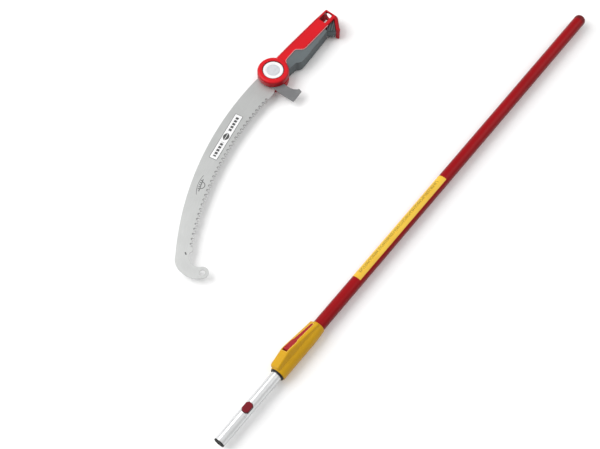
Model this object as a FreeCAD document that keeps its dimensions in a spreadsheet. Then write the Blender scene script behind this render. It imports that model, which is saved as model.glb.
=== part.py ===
import FreeCAD, Part
import math
import os
import Sketcher
from FreeCAD import Placement, Rotation, Vector

# Telescoping pole saw: a clamp-lock pole beside its detachable saw head.
# +X runs along the pole from the tool end, +Y points from the pole to the saw head, +Z is up.
# Lock pieces are drawn in the lock's frame, with the lever on its +Z side and the mouth at x = 0.
# Saw pieces are drawn in the hub's frame, with the socket towards +X and the blade towards -X.

SIZES = {
    # pole
    "pole_length": 1160, "inner_od": 21, "inner_wall": 1.2, "inner_length": 1085, "tube_wall": 1,
    "tube_gap": 0.5, "tube_od": "=inner_od + 2 * tube_gap + 2 * tube_wall", "cap_length": 14,
    "cap_plug": 20, "fit_gap": 0.05, "slide_gap": 0.04, "guide_disc": 12,
    "plug_flange": 2.2, "plug_recess": 1.6, "plug_depth": 14, "plug_lip": 1.6,
    "mark_x": 58, "mark_width": 2, "mark_depth": 0.3,
    # tool button
    "button_x": 75, "button_length": 21, "button_width": 14.4, "button_corner": 4, "button_rise": 2.9,
    "button_edge": 1.6, "button_gap": 0.5, "button_travel": 3.2, "button_lift": 0.8,
    "flange_thick": 1.6, "flange_reach": 2.2, "leaf_thick": 0.7, "leaf_width": 8, "leaf_length": 42,
    # clamp lock
    "lock_x": 158, "lock_length": 117, "lock_tilt": 35, "bush_length": 26, "bush_wall": 2.4,
    "housing_wall": 2.3, "lock_front_radius": "=inner_od / 2 + bush_wall + housing_wall",
    "rear_wall": 1.5, "lock_rear_radius": "=tube_od / 2 + rear_wall", "lock_taper_x": 70,
    "pin_x": 42, "pin_rise": 8, "pin_z": "=inner_od / 2 + pin_rise", "pin_radius": 2, "pin_gap": 0.06,
    "keel_width": 22, "keel_front": "=pin_z + 1", "keel_peak": "=pin_z + 6.3", "keel_peak_x": 36,
    "keel_rear": "=tube_od / 2 + 1.6", "keel_round": 3, "tube_start": 62,
    "cam_radius": 4.6, "cam_offset": 0.6, "lever_front": 6, "lever_width": 14, "lever_tip_width": 5.2,
    "lever_end": 110, "lever_proud": 0.4, "lever_depth": 5.3, "lever_tip_depth": 2.2,
    "lever_gap": 0.4, "shoe_length": 29, "shoe_width": 11, "shoe_gap": 0.1, "shoe_rest": 0.3,
    "seal_length": 3.2, "seal_gap": 0.35, "housing_screw_radius": 1.4,
    "housing_screw_z": "=pin_z - 1.9", "rivet_radius": 1.6, "rivet_x": 106,
    # label
    "label_x": 390, "label_length": 272, "label_thick": 0.25, "label_half_angle": 66,
    # saw head
    "hub_x": 650, "hub_y": 410, "root_radius": 25, "hub_wall": 7, "hub_radius": "=root_radius + hub_wall",
    "hub_half": 18, "hub_round": 5, "socket_floor": 94, "socket_gap": 0.25, "head_gap": 0.8,
    "socket_wall": 3.75, "handle_half": "=inner_od / 2 + socket_gap + socket_wall", "handle_round": 4.5,
    "handle_end": 190, "socket_half": "=inner_od / 2 + socket_gap + 5.05",
    "back_end": "=inner_od / 2 + socket_gap + 2.45", "back_line": "=back_end + 3.3",
    "window_length": "=button_length + 5", "window_width": "=button_width + 2",
    "window_start": "=socket_floor + head_gap + plug_flange + button_x - window_length / 2",
    "grip_half": "=handle_half - 1.3", "rib_half": 11, "web_half": 6.5, "rib_count": 5, "rib_pitch": 3.3,
    "rib_width": 1.5, "rim_drop": 19, "rim_width": 8,
    # hub
    "blade_thick": 1.6, "hook_thick": 2, "slot_gap": 0.4, "ring_thick": 2.2, "ring_tooth": 1,
    "ring_gap": 0.3, "lock_ring_top": "=blade_thick / 2 + ring_thick + 2 * ring_tooth + ring_gap",
    "lock_ring_thick": 2, "crown_teeth": 24, "crown_inner": 16.6, "crown_outer": 19.2,
    "lock_ring_outer": 19.5, "lock_ring_inner": 10.4, "ring_outer": 20.5, "ring_rivet_y": 11,
    "ring_rivet_radius": 1.2, "cap_seat": 1.8, "cap_thick": 1.4, "cavity_wall": 2.2,
    "cavity_floor": "=hub_half - cap_seat - cavity_wall", "cavity_radius": 23, "boss_radius": 9,
    "head_thick": 3, "head_top": "=hub_half - 5.6", "sleeve_foot": 9, "sleeve_radius": 6, "bolt_radius": 4,
    "bolt_head_radius": 7.4, "nut_height": 3.2, "nut_radius": 7, "post_circle": 14, "post_radius": 1.5,
    "post_gap": 0.25, "post_angle": 20, "button_face_radius": 15, "button_radius": 20.6,
    "recess_gap": 0.6, "recess_floor": 8, "button_top": "=hub_half - 0.8", "button_thick": 4.6,
    "spring_sheet": 0.8, "spring_slots": 8, "spring_slot_width": 2.4,
    "screw_radius": 1.5, "screw_head_radius": 2.8, "screw_head_z": 8, "screw_tip_z": 8.5,
    # blade
    "back_radius": 665, "back_centre_x": -29, "back_centre_y": -646, "tooth_radius": 680,
    "tooth_centre_x": -45, "tooth_centre_y": -710, "tooth_start_x": -52, "tooth_end_x": -398,
    "tooth_pitch": 10.7, "tooth_depth": 4.4, "hook_foot": 74, "blade_swing": 30, "tip_x": -424.5,
    "tip_y": -177, "tip_radius": 12, "hang_hole_radius": 5.3, "hook_rivet_radius": 1.5,
    "rivet_gap": 0.02,
}

doc = FreeCAD.newDocument("PoleSaw")
sheet = doc.addObject("Spreadsheet::Sheet", "Sizes")
for row, (alias, number) in enumerate(SIZES.items(), start=1):
    sheet.set(f"A{row}", alias)
    sheet.set(f"B{row}", str(number))
    sheet.setAlias(f"B{row}", alias)
doc.recompute()

pieces = []


def size(alias):
    """A size from the sheet, as a number."""
    return float(sheet.get(alias))


def bind(item, **rules):
    """Ties properties to the sheet. A double underscore stands for a dot in the property's path."""
    for path, rule in rules.items():
        item.setExpression(path.replace("__", "."), rule)
    return item


def in_lock(item):
    """Places a piece drawn in the lock's frame."""
    item.Placement = Placement(Vector(size("lock_x"), 0, 0), Rotation(Vector(1, 0, 0), -size("lock_tilt")))
    return bind(item, Placement__Base__x="Sizes.lock_x",
                Placement__Rotation__Angle="-Sizes.lock_tilt * 1 deg")


def in_saw(item):
    """Places a piece drawn in the hub's frame."""
    return bind(item, Placement__Base__x="Sizes.hub_x", Placement__Base__y="Sizes.hub_y")


def keep(item, label, place=None):
    """Marks an object as a finished sub-part."""
    item.Label = label
    if place:
        place(item)
    pieces.append(item)
    return item


# ---- primitives and booleans ----

AXES = {"x": Rotation(Vector(0, 1, 0), 90), "y": Rotation(Vector(1, 0, 0), -90), "z": Rotation()}


def rod(radius, length, along="z", x="0", y="0", z="0", sides=0):
    """A cylinder, or a prism with that many sides, whose base centre is at x, y, z."""
    kind = "Part::Prism" if sides else "Part::Cylinder"
    item = doc.addObject(kind, "Rod")
    if sides:
        item.Polygon = sides
        bind(item, Circumradius=radius)
    else:
        bind(item, Radius=radius)
    item.Placement = Placement(Vector(), AXES[along])
    return bind(item, Height=length, Placement__Base__x=x, Placement__Base__y=y, Placement__Base__z=z)


def block(length, width, height, x="0", y="0", z="0"):
    """A box centred on x and y, with its underside at z."""
    item = bind(doc.addObject("Part::Box", "Block"), Length=length, Width=width, Height=height)
    return bind(item, Placement__Base__x=f"{x} - ({length}) / 2", Placement__Base__y=f"{y} - ({width}) / 2",
                Placement__Base__z=z)


def fuse(*items):
    result = doc.addObject("Part::MultiFuse", "Fuse")
    result.Shapes = list(items)
    return result


def cut(base, *tools):
    result = doc.addObject("Part::Cut", "Cut")
    result.Base = base
    result.Tool = tools[0] if len(tools) == 1 else fuse(*tools)
    return result


def common(*items):
    result = doc.addObject("Part::MultiCommon", "Common")
    result.Shapes = list(items)
    return result


def group(*items):
    """Several loose solids as one object."""
    result = doc.addObject("Part::Compound", "Group")
    result.Links = list(items)
    return result


def tube(outer, inner, length, along="x", x="0", y="0", z="0"):
    return cut(rod(outer, length, along, x, y, z), rod(inner, length, along, x, y, z))


# Rotations that stand a sketch up in the xz or yz plane.
PLANES = {"xy": Rotation(), "xz": Rotation(Vector(1, 0, 0), 90), "yz": Rotation(Vector(1, 1, 1), 120)}
NORMALS = {"xy": "z", "xz": "y", "yz": "x"}


def outline(points, plane="xy", low="0"):
    """A sketch of its own, on a plane that stands at low on the plane's axis."""
    sketch = doc.addObject("Sketcher::SketchObject", "Outline")
    sketch.Placement = Placement(Vector(), PLANES[plane])
    draw_loop(sketch, points)
    return bind(sketch, **{f"Placement__Base__{NORMALS[plane]}": low})


def prism(points, low, length, plane="xy"):
    """An outline extruded from low, by length, towards the positive side of the plane's axis."""
    item = doc.addObject("Part::Extrusion", "Prism")
    item.Base = outline(points, plane, low)
    item.DirMode = "Custom"
    item.Dir = {"xy": Vector(0, 0, 1), "xz": Vector(0, 1, 0), "yz": Vector(1, 0, 0)}[plane]
    item.Solid = True
    return bind(item, LengthFwd=length)


def spun(points, plane="xz", axis="x"):
    """A profile turned once round a row axis."""
    item = doc.addObject("Part::Revolution", "Spun")
    item.Source = outline(points, plane)
    item.Axis = {"x": Vector(1, 0, 0), "z": Vector(0, 0, 1)}[axis]
    item.Angle = 360
    item.Solid = True
    return item


def rounded(item, radius, wanted):
    """Fillets the edges of a piece that the test picks."""
    doc.recompute()
    picked = [n for n, edge in enumerate(item.Shape.Edges, start=1) if wanted(edge)]
    result = doc.addObject("Part::Fillet", "Rounded")
    result.Base = item
    result.Edges = [(n, radius, radius) for n in picked]
    return result


# ---- part design ----


def new_body(label, place=None):
    return keep(doc.addObject("PartDesign::Body", "Body"), label, place)


def new_sketch(body, role, offset="0", dx="0", dy="0"):
    """A sketch on one of the body's own origin planes, moved along the plane's normal by offset."""
    sketch = body.newObject("Sketcher::SketchObject", "Sketch")
    plane = next(p for p in body.Origin.OriginFeatures if p.Role == role)
    sketch.AttachmentSupport = [(plane, "")]
    sketch.MapMode = "FlatFace"
    return bind(sketch, AttachmentOffset__Base__x=dx, AttachmentOffset__Base__y=dy,
                AttachmentOffset__Base__z=offset)


def draw_circle(sketch, radius, rule, centre=(0, 0)):
    """A circle with its radius tied to the sheet."""
    ring = sketch.addGeometry(Part.Circle(Vector(*centre, 0), Vector(0, 0, 1), radius))
    if centre == (0, 0):
        sketch.addConstraint(Sketcher.Constraint("Coincident", ring, 3, -1, 1))
    else:
        sketch.addConstraint(Sketcher.Constraint("Block", ring))
        return ring
    held = sketch.addConstraint(Sketcher.Constraint("Radius", ring, radius))
    sketch.setExpression(f"Constraints[{held}]", rule)
    return ring


def draw_loop(sketch, points):
    """A closed outline. An entry of two points is an arc through the first to the second."""
    ends = [p if not isinstance(p[0], tuple) else p[1] for p in points]
    edges = []
    for number, entry in enumerate(points):
        start = Vector(*ends[number - 1], 0)
        end = Vector(*ends[number], 0)
        if isinstance(entry[0], tuple):
            edges.append(Part.Arc(start, Vector(*entry[0], 0), end))
        else:
            edges.append(Part.LineSegment(start, end))
    sketch.addGeometry(edges, False)
    return sketch


def pad(body, sketch, length, midplane=False, reverse=False):
    feature = body.newObject("PartDesign::Pad", "Pad")
    feature.Profile = sketch
    feature.Midplane = midplane
    feature.Reversed = reverse
    return bind(feature, Length=length)


def pocket(body, sketch, length, midplane=False, reverse=False):
    feature = body.newObject("PartDesign::Pocket", "Pocket")
    feature.Profile = sketch
    feature.Midplane = midplane
    feature.Reversed = reverse
    return bind(feature, Length=length)


def turned(body, sketch, kind="PartDesign::Revolution"):
    """Turns a profile about the sketch's horizontal axis."""
    feature = body.newObject(kind, "Turned")
    feature.Profile = sketch
    feature.ReferenceAxis = (sketch, ["H_Axis"])
    feature.Angle = 360
    return feature


def round_edges(body, base, radius, wanted):
    """Fillets the edges of a feature that the test picks."""
    doc.recompute()
    names = [f"Edge{n}" for n, edge in enumerate(base.Shape.Edges, start=1) if wanted(edge)]
    feature = body.newObject("PartDesign::Fillet", "Fillet")
    feature.Base = (base, names)
    return bind(feature, Radius=radius)


def on_level(edge, z):
    """True for an edge that lies flat at height z."""
    box = edge.BoundBox
    return abs(box.ZMin - z) < 0.01 and abs(box.ZMax - z) < 0.01


# ---- pole: tubes ----

INNER_RADIUS = "Sizes.inner_od / 2"
TUBE_RADIUS = "Sizes.tube_od / 2"
TUBE_BORE = "(Sizes.tube_od / 2 - Sizes.tube_wall)"
INNER_BORE = "(Sizes.inner_od / 2 - Sizes.inner_wall)"


def make_outer_tube():
    """The red tube, drawn in the lock's frame because the housing's rivets pass through its wall."""
    body = new_body("outer_tube", in_lock)
    section = new_sketch(body, "YZ_Plane", "Sizes.tube_start")
    draw_circle(section, size("tube_od") / 2, TUBE_RADIUS)
    draw_circle(section, size("tube_od") / 2 - size("tube_wall"), TUBE_BORE)
    pad(body, section, "Sizes.pole_length - Sizes.cap_length - Sizes.lock_x - Sizes.tube_start")
    holes = new_sketch(body, "XZ_Plane", dx="Sizes.rivet_x")
    draw_circle(holes, size("rivet_radius") + size("fit_gap"), "Sizes.rivet_radius + Sizes.fit_gap")
    pocket(body, holes, "2 * Sizes.tube_od", midplane=True)


def make_end_cap():
    body = new_body("end_cap")
    radius = size("tube_od") / 2
    plug = radius - size("tube_wall") - size("fit_gap")
    end = size("pole_length")
    shoulder = end - size("cap_length")
    back = shoulder - size("cap_plug")
    profile = new_sketch(body, "XZ_Plane")
    draw_loop(profile, [
        (back, 0), (back, plug - 1), (back + 1, plug), (shoulder, plug), (shoulder, radius),
        (end - radius * 0.7, radius), ((end - radius * 0.16, radius * 0.72), (end, radius * 0.25)), (end, 0),
    ])
    turned(body, profile)


def make_inner_tube():
    body = new_body("inner_tube")
    section = new_sketch(body, "YZ_Plane")
    draw_circle(section, size("inner_od") / 2, INNER_RADIUS)
    draw_circle(section, size("inner_od") / 2 - size("inner_wall"), INNER_BORE)
    pad(body, section, "Sizes.inner_length")
    mark = new_sketch(body, "YZ_Plane", "Sizes.mark_x")
    draw_circle(mark, size("inner_od") / 2 + 1, INNER_RADIUS + " + 1")
    draw_circle(mark, size("inner_od") / 2 - size("mark_depth"), INNER_RADIUS + " - Sizes.mark_depth")
    pocket(body, mark, "Sizes.mark_width", reverse=True)
    half = size("button_length") / 2 + size("button_gap")
    side = size("button_width") / 2 + size("button_gap")
    slot = new_sketch(body, "XY_Plane", "2", dx="Sizes.button_x")
    draw_loop(slot, button_outline(half, side, size("button_corner")))
    pocket(body, slot, INNER_RADIUS, reverse=True)


def button_outline(half, side, corner):
    """A pebble: a rectangle with its four corners cut off."""
    return [(half, side - corner), (half - corner, side), (corner - half, side), (-half, side - corner),
            (-half, corner - side), (corner - half, -side), (half - corner, -side), (half, corner - side)]


def make_tool_end_plug():
    """A black plug whose dished flange covers the end of the tube."""
    body = new_body("tool_end_plug")
    flange = size("inner_od") / 2 - 0.1
    spigot = size("inner_od") / 2 - size("inner_wall") - size("fit_gap")
    lip = flange - size("plug_lip")
    face = -size("plug_flange")
    dish = face + size("plug_recess")
    depth = size("plug_depth")
    profile = new_sketch(body, "XZ_Plane")
    draw_loop(profile, [
        (dish, 0), (dish, lip - 0.5), (face + 0.4, lip), (face, lip + 0.4), (face, flange - 0.6),
        (face + 0.6, flange), (0, flange), (0, spigot), (depth, spigot), (depth, 0),
    ])
    turned(body, profile)


def make_rear_guide():
    body = new_body("rear_guide")
    disc = size("tube_od") / 2 - size("tube_wall") - size("slide_gap")
    spigot = size("inner_od") / 2 - size("inner_wall") - size("fit_gap")
    end = size("inner_length")
    far = end + size("guide_disc")
    profile = new_sketch(body, "XZ_Plane")
    draw_loop(profile, [
        (end - size("plug_depth"), 0), (end - size("plug_depth"), spigot), (end, spigot), (end, disc - 0.5),
        (end + 0.5, disc), (far - 1, disc), (far, disc - 1), (far, 0),
    ])
    turned(body, profile)


# ---- tool button ----


def make_tool_button():
    body = new_body("tool_button")
    top = INNER_RADIUS + " + Sizes.button_rise"
    low = "Sizes.button_travel + Sizes.button_lift"
    outline = new_sketch(body, "XY_Plane", low, dx="Sizes.button_x")
    wide = size("button_width") / 2
    draw_loop(outline, button_outline(size("button_length") / 2, wide, size("button_corner")))
    stem = pad(body, outline, f"{top} - ({low})")
    height = size("inner_od") / 2 + size("button_rise")
    round_edges(body, stem, "Sizes.button_edge", lambda edge: on_level(edge, height))
    flange = new_sketch(body, "XY_Plane", low, dx="Sizes.button_x")
    half = size("button_length") / 2 + size("flange_reach")
    side = size("button_width") / 2 - 0.4
    draw_loop(flange, [(half, side), (-half, side), (-half, -side), (half, -side)])
    pad(body, flange, "Sizes.flange_thick")


def make_button_spring():
    """A strip folded into a V: the upper leg lifts the button, the lower leg lies in the tube."""
    body = new_body("button_spring")
    middle = size("button_x")
    thick = size("leaf_thick")
    half = size("leaf_width") / 2
    floor = -math.sqrt((size("inner_od") / 2 - size("inner_wall")) ** 2 - half ** 2) + size("fit_gap")
    top = size("button_travel") + size("button_lift") - size("fit_gap")
    fold = middle + size("leaf_length")
    near = middle - size("button_length") / 2
    bend = -0.5 * (top - floor) * 0.25
    profile = new_sketch(body, "XZ_Plane")
    draw_loop(profile, [
        (near, top), (near, top - thick), (middle + 8, top - thick), (fold, bend + 2 - thick),
        ((fold + 2.4, bend), (fold, bend - 2)), (near, floor + thick), (near, floor),
        (fold + 1, bend - 2 - thick), ((fold + 2.4 + thick, bend), (fold + 1, bend + 2)), (middle + 8.5, top),
    ])
    pad(body, profile, "Sizes.leaf_width", midplane=True)


# ---- clamp lock, in the lock's frame ----


def keel_top(x):
    """Height of the housing's ridge at x."""
    peak = size("keel_peak_x")
    slope = (size("keel_rear") - size("keel_peak")) / (size("lock_length") - peak)
    return size("keel_peak") + slope * (x - peak)


def lock_outside():
    """The housing before it is hollowed and split: a round barrel with a raised ridge."""
    front = size("lock_front_radius")
    rear = size("lock_rear_radius")
    length = size("lock_length")
    barrel = spun([
        (0, 0), (0, front - 1.2), ((0.4, front - 0.4), (1.2, front)), (size("lock_taper_x"), front),
        ((length * 0.82, front - 0.35), (length - 2, rear)),
        ((length - 0.6, rear - 0.5), (length, rear - 1.4)), (length, 0),
    ])
    peak = size("keel_peak_x")
    ridge = prism([
        (1.5, 5), (1.5, size("keel_front") - 5.5), ((3.1, size("keel_front") - 1.7), (7, size("keel_front"))),
        (peak - 5, keel_top(peak - 5) - 2.1),
        ((peak - 0.5, keel_top(peak) - 0.6), (peak + 5, keel_top(peak + 5))),
        (length - 3, keel_top(length - 3)), (length - 3, 5),
    ], "-Sizes.keel_width / 2", "Sizes.keel_width", "xz")
    half = size("keel_width") / 2

    def along_ridge(edge):
        box = edge.BoundBox
        flat = abs(box.YMax - box.YMin) < 0.01 and abs(abs(box.YMin) - half) < 0.01
        return flat and box.ZMin > size("keel_rear") - 1 and box.XLength > 1

    return fuse(barrel, rounded(ridge, size("keel_round"), along_ridge))


def lever_plan(gap):
    """Plan outline of the lever, grown by gap: a broad pad that narrows to a thin tip."""
    wide = size("lever_width") / 2 + gap
    narrow = size("lever_tip_width") / 2 + gap
    front = size("pin_x") - size("lever_front") - gap
    waist = size("pin_x") + 16
    end = size("lever_end") + gap
    neck = narrow + 1.6
    return [(front, -wide), (waist, -wide), ((waist + 5, -wide + 0.8), (waist + 8, -neck)),
            (end - 3, -narrow), ((end, 0), (end - 3, narrow)), (waist + 8, neck),
            ((waist + 5, wide - 0.8), (waist, wide)), (front, wide)]


def lever_underside(gap):
    """The two ends of the lever's underside, lowered by gap."""
    near = size("pin_x") + 8
    far = size("lever_end") + 2
    proud = size("lever_proud")
    return [(near, keel_top(near) + proud - size("lever_depth") - gap),
            (far, keel_top(far) + proud - size("lever_tip_depth") - gap)]


def lock_hollow():
    """Everything that is cut from the housing: the bores, the slot, the shoe's well and the holes."""
    length = size("lock_length")
    bush = size("inner_od") / 2 + size("slide_gap") + size("bush_wall") + size("fit_gap")
    clear = size("inner_od") / 2 + 0.7
    seat = size("tube_od") / 2 + size("fit_gap")
    bores = spun([
        (-1, 0), (-1, bush), (size("bush_length") + 1, bush), (size("bush_length") + 1, clear),
        (size("tube_start") - 0.5, clear), (size("tube_start") - 0.5, seat), (length + 1, seat),
        (length + 1, 0),
    ])
    gap = size("lever_gap")
    near, far = lever_underside(gap)
    well = size("pin_x") + 8
    low = size("pin_z") - size("cam_radius") - 1.6
    slot = common(
        prism(lever_plan(gap), "0", "60"),
        prism([(0, low), (well, low), near, far, (far[0], 60), (0, 60)], "-30", "60", "xz"))
    shoe = block("Sizes.shoe_length + 2 * Sizes.lever_gap", "Sizes.shoe_width + 2 * Sizes.lever_gap",
                 "Sizes.pin_z", x="Sizes.pin_x")
    pin = rod("Sizes.pin_radius + Sizes.fit_gap", "Sizes.keel_width + 2", "y", "Sizes.pin_x",
              "-Sizes.keel_width / 2 + 1.5", "Sizes.pin_z")
    screws = [rod("Sizes.housing_screw_radius + Sizes.fit_gap", "Sizes.keel_width - 3", "y", x,
                  "-Sizes.keel_width / 2 + 3", "Sizes.housing_screw_z") for x in SCREW_PLACES]
    heads = [rod("Sizes.housing_screw_radius * 2 + Sizes.fit_gap", "1.8", "y", x,
                 "Sizes.keel_width / 2 - 1.7", "Sizes.housing_screw_z") for x in SCREW_PLACES]
    rivets = [rod("Sizes.rivet_radius + Sizes.fit_gap", "60", "y", "Sizes.rivet_x", "-30")]
    for side in ("", "-"):
        rivets.append(rod("Sizes.rivet_radius * 1.6 + Sizes.fit_gap", "8", "y", "Sizes.rivet_x",
                          f"{side}(Sizes.tube_od / 2 + 1)" + (" - 8" if side else "")))
    return fuse(bores, slot, shoe, pin, *screws, *heads, *rivets)


SCREW_PLACES = ("9", "24")


def make_lock_housing():
    whole = cut(lock_outside(), lock_hollow())
    halves = (("lock_housing_left", "0"), ("lock_housing_right", "-40"))
    for label, low in halves:
        side = block("400", "40", "120", y=f"{low} + 20", z="-60")
        keep(common(whole, side), label, in_lock)


def make_housing_screws():
    """Pan head screws through the ridge, from the left half into the right."""
    screws = []
    for x in SCREW_PLACES:
        height = "Sizes.housing_screw_z"
        shank = rod("Sizes.housing_screw_radius", "Sizes.keel_width - 4", "y", x,
                    "-Sizes.keel_width / 2 + 3.6", height)
        head = rod("Sizes.housing_screw_radius * 2", "1.3", "y", x, "Sizes.keel_width / 2 - 1.7", height)
        recess = rod("Sizes.housing_screw_radius * 0.9", "0.9", "y", x, "Sizes.keel_width / 2 - 1.2",
                     height, sides=6)
        screws.append(cut(fuse(shank, head), recess))
    keep(group(*screws), "housing_screws", in_lock)


def make_housing_rivets():
    """One rivet on each side, through the housing and the outer tube's wall."""
    rivets = []
    for side in ("", "-"):
        shank_y = f"{side}({TUBE_BORE} + 0.1)" + (" - 2.4" if side else "")
        head_y = f"{side}(Sizes.tube_od / 2 + 1.05)" + (" - 1.2" if side else "")
        shank = rod("Sizes.rivet_radius", "2.4", "y", "Sizes.rivet_x", shank_y)
        head = rod("Sizes.rivet_radius * 1.6", "1.2", "y", "Sizes.rivet_x", head_y)
        rivets.append(fuse(shank, head))
    keep(group(*rivets), "housing_rivets", in_lock)


def make_lever_pin():
    pin = rod("Sizes.pin_radius", "Sizes.keel_width - 1.9", "y", "Sizes.pin_x",
              "-Sizes.keel_width / 2 + 1.6", "Sizes.pin_z")
    ends = rounded(pin, 0.4, lambda edge: edge.Length > 1 and edge.BoundBox.YLength < 0.01)
    keep(ends, "lever_pin", in_lock)


def make_lock_lever():
    """The arm follows the ridge; the round cam under the pin stands off its axis."""
    pin_x = size("pin_x")
    pin_z = size("pin_z")
    proud = size("lever_proud")
    end = size("lever_end")
    near, far = lever_underside(0)
    arm = prism([
        (pin_x - 3.6, pin_z + 2), (pin_x - 3.4, pin_z + 3.6),
        ((pin_x - 2.6, pin_z + 5.0), (pin_x - 0.5, keel_top(pin_x))),
        (pin_x + 6, keel_top(pin_x + 6) + proud), (end, keel_top(end) + proud),
        (end + 2, keel_top(end) - 1.0), far, near, (pin_x + 5, pin_z - 2.2), (pin_x, pin_z - 2.2),
    ], "-Sizes.lever_width", "Sizes.lever_width * 2", "xz")
    trimmed = common(arm, prism(lever_plan(0), "0", "60"))
    cam = rod("Sizes.cam_radius", "Sizes.lever_width - 0.4", "y", "Sizes.pin_x",
              "-Sizes.lever_width / 2 + 0.2", "Sizes.pin_z - Sizes.cam_offset")
    hole = rod("Sizes.pin_radius + Sizes.pin_gap", "40", "y", "Sizes.pin_x", "-20", "Sizes.pin_z")
    keep(cut(fuse(trimmed, cam), hole), "lock_lever", in_lock)


def make_clamp_shoe():
    """A pad between the cam and the inner tube, hollowed to the tube's radius."""
    top = "Sizes.pin_z - Sizes.cam_offset - Sizes.cam_radius - Sizes.shoe_rest"
    low = "Sizes.inner_od / 2 - 4.5"
    pad_block = block("Sizes.shoe_length", "Sizes.shoe_width", f"{top} - ({low})", x="Sizes.pin_x", z=low)
    bore = rod(INNER_RADIUS + " + Sizes.shoe_gap", "Sizes.lock_length", "x")
    keep(cut(pad_block, bore), "clamp_shoe", in_lock)


def make_guide_bush():
    inner = size("inner_od") / 2 + size("slide_gap")
    outer = inner + size("bush_wall")
    length = size("bush_length")
    keep(spun([
        (0.9, inner + 0.8), (0.9, outer), (length, outer), (length, inner + 0.5),
        (length - 1, inner), (1.7, inner),
    ]), "guide_bush", in_lock)


def make_mouth_seal():
    """A black ring that closes the mouth, with a short spigot inside the housing."""
    inner = size("inner_od") / 2 + size("seal_gap")
    spigot = size("inner_od") / 2 + size("bush_wall") - 0.3
    outer = size("lock_front_radius") - 1.6
    front = -size("seal_length")
    keep(spun([
        (front, inner + 0.6), (front, outer - 1.2),
        ((front + 0.4, outer - 0.4), (front + 1.2, outer)), (0, outer), (0, spigot),
        (0.9, spigot), (0.9, inner), (front + 0.6, inner),
    ]), "mouth_seal", in_lock)


def make_tube_label():
    """A thin sleeve over part of the outer tube's girth."""
    inner = size("tube_od") / 2
    outer = inner + size("label_thick")
    half = math.radians(size("label_half_angle"))
    side = math.sin(half)
    rise = math.cos(half)
    band = prism([
        (-outer * side, outer * rise), ((0, outer), (outer * side, outer * rise)),
        (inner * side, inner * rise), ((0, inner), (-inner * side, inner * rise)),
    ], "Sizes.label_x - Sizes.lock_x", "Sizes.label_length", "yz")
    keep(band, "tube_label", in_lock)


# ---- saw head, in the hub's frame ----

SLOT_TOP = "Sizes.blade_thick / 2 + Sizes.hook_thick + Sizes.slot_gap"
SLOT_BOTTOM = "-Sizes.blade_thick / 2 - Sizes.slot_gap"


def rim_points():
    """The sloping rim at the handle's end: its outer and inner edge, each from the socket to the tip."""
    end = size("handle_end")
    half = size("socket_half")
    drop = size("rim_drop")
    width = size("rim_width")
    step = width * math.sqrt(0.5)
    outer = [(end - 5, -half - 6.7), (end - 5 - drop, -half - 6.7 - drop)]
    inner = [(x - step, y + step) for x, y in outer]
    return outer, inner


def shared_edge():
    """The line where the red handle meets the soft insert, from the hub to the rim's inner edge."""
    half = size("socket_half")
    _, inner = rim_points()
    corner = (inner[0][0] - 2.4, -half)
    return [(31, -10), ((34, -5), (40, -2.8)), (65, -1.6), ((68, -1.8), (70, -2.9)), (77, -11.4),
            ((80, -14.6), (85, -half)), corner, inner[0], inner[1]]


def handle_outline():
    end = size("handle_end")
    outer, inner = rim_points()
    back = size("back_line")
    low = size("back_end")
    tip = ((outer[1][0] - 2.2, outer[1][1] - 1.1), (outer[1][0] - 4.6, outer[1][1] + 0.5))
    outward = [(12, -10), (12, back), (60, back), (end * 0.8, (back + low) / 2), (end - 2.5, low),
               ((end - 0.7, low - 0.8), (end, low - 2.6)), (end - 0.4, -size("socket_half") + 4),
               ((end - 1.6, -size("socket_half") - 2), outer[0]), outer[1], tip]
    ends = [p if not isinstance(p[0], tuple) else p[1] for p in shared_edge()]
    middles = [None if not isinstance(p[0], tuple) else p[0] for p in shared_edge()]
    homeward = []
    for number in range(len(ends) - 1, -1, -1):
        arc_middle = middles[number + 1] if number + 1 < len(ends) else None
        homeward.append((arc_middle, ends[number]) if arc_middle else ends[number])
    return outward + homeward


def grip_outline():
    _, inner = rim_points()
    corner = (inner[1][0] - 12.4, inner[1][1] + 12.6)
    return [(20, -10)] + shared_edge() + [corner, (113, -26.6), (60, -30.8), ((52, -29.6), (46, -24.6)),
                                         ((42, -22.8), (38, -22.8)), (20, -21.6)]


def on_face(edge, level):
    box = edge.BoundBox
    return box.ZLength < 0.01 and abs(abs(box.ZMin) - level) < 0.01


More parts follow.
